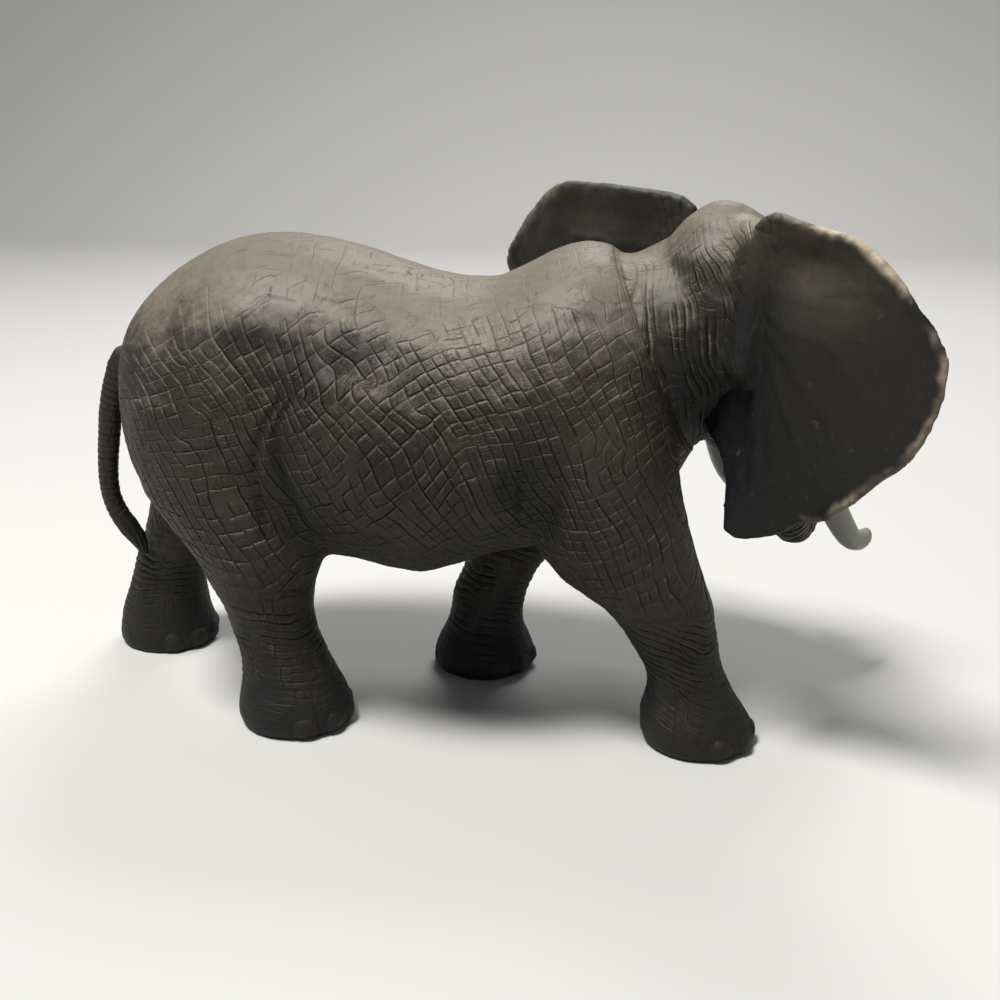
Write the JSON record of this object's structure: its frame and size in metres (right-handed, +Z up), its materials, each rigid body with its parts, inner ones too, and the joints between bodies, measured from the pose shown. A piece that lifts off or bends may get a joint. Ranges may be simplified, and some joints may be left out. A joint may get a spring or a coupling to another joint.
{
  "type": "toy elephant figure",
  "caption": "Moulded African elephant play figure in mid stride, hollow body in halves, head turned to its left, curled trunk with ring folds, spread ears and separate tusks.",
  "frame": {"origin": "bottom centre of the figure's bounding box, on the ground under the soles", "axes": "+X forwards along the body towards the chest, +Y to the animal's left, +Z up"},
  "size_m": [0.1908, 0.0984, 0.119],
  "materials": {
    "skin": "painted vinyl, dark grey-brown with worn lighter tops, satin",
    "ear": "painted vinyl, darker than the body with a worn rim, satin",
    "tusk": "smooth off-white vinyl, satin"
  },
  "bodies": {
    "root": {"body_half_right": "skin", "body_half_left": "skin", "head": "skin", "ear_right": "ear", "ear_left": "ear", "tusk_right": "tusk", "tusk_left": "tusk", "tail": "skin"}
  },
  "joints": []
}
